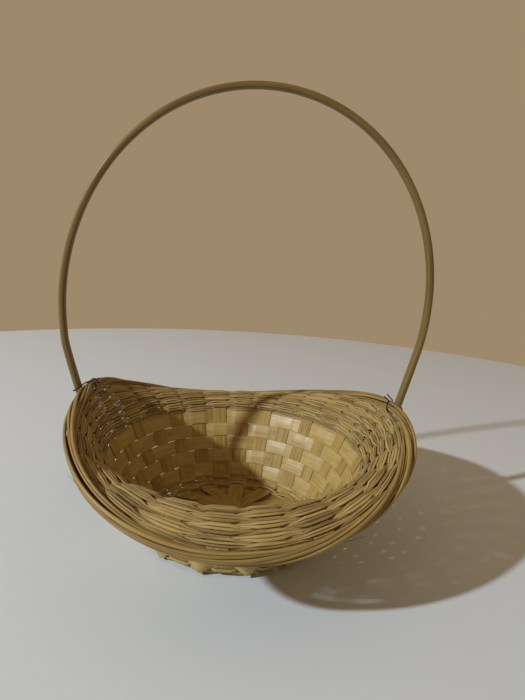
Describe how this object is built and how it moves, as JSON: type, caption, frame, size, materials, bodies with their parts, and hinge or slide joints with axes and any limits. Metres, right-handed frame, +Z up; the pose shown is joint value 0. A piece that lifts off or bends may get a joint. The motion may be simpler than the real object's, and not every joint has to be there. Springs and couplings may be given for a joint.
{
  "type": "woven basket",
  "caption": "Round woven bamboo basket with a wide curved brim, a rolled border and a tall fixed hoop handle, for carrying petals or small flowers.",
  "frame": {"origin": "middle of the base, on the underside of the lowest splint, where the basket rests", "axes": "+Z up; the handle's hoop lies close to the XZ plane and crosses the basket from left (-X) to right (+X); +Y towards the back"},
  "size_m": [0.2917, 0.2862, 0.3405],
  "materials": {
    "bamboo_splint": "split bamboo, planed, satin",
    "bamboo_band": "thin shaved bamboo, satin with fine grain along the band",
    "bamboo_strand": "narrow split bamboo, slightly frayed, satin",
    "bamboo_border": "split bamboo, satin",
    "bamboo_cane": "bamboo skin, smooth, semi-gloss",
    "black_wire": "soft iron binding wire, black"
  },
  "bodies": {
    "root": {"stake_splint_01": "bamboo_splint", "stake_splint_02": "bamboo_splint", "stake_splint_03": "bamboo_splint", "stake_splint_04": "bamboo_splint", "stake_splint_05": "bamboo_splint", "stake_splint_06": "bamboo_splint", "stake_splint_07": "bamboo_splint", "stake_splint_08": "bamboo_splint", "stake_splint_09": "bamboo_splint", "stake_splint_10": "bamboo_splint", "stake_splint_11": "bamboo_splint", "stake_splint_12": "bamboo_splint", "stake_splint_13": "bamboo_splint", "stake_splint_14": "bamboo_splint", "foot_strand": "bamboo_strand", "floor_ring_strand": "bamboo_strand", "wall_band_01": "bamboo_band", "wall_band_02": "bamboo_band", "wall_band_03": "bamboo_band", "wall_band_04": "bamboo_band", "wall_band_05": "bamboo_band", "brim_strand_01": "bamboo_strand", "brim_strand_02": "bamboo_strand", "brim_strand_03": "bamboo_strand", "brim_strand_04": "bamboo_strand", "brim_strand_05": "bamboo_strand", "brim_strand_06": "bamboo_strand", "brim_strand_07": "bamboo_strand", "brim_strand_08": "bamboo_strand", "brim_strand_09": "bamboo_strand", "brim_strand_10": "bamboo_strand", "brim_strand_11": "bamboo_strand", "border_strand_01": "bamboo_border", "border_strand_02": "bamboo_border", "border_strand_03": "bamboo_border", "border_strand_04": "bamboo_border", "handle_hoop": "bamboo_cane", "wire_tie_left": "black_wire", "wire_tie_right": "black_wire"}
  },
  "joints": []
}
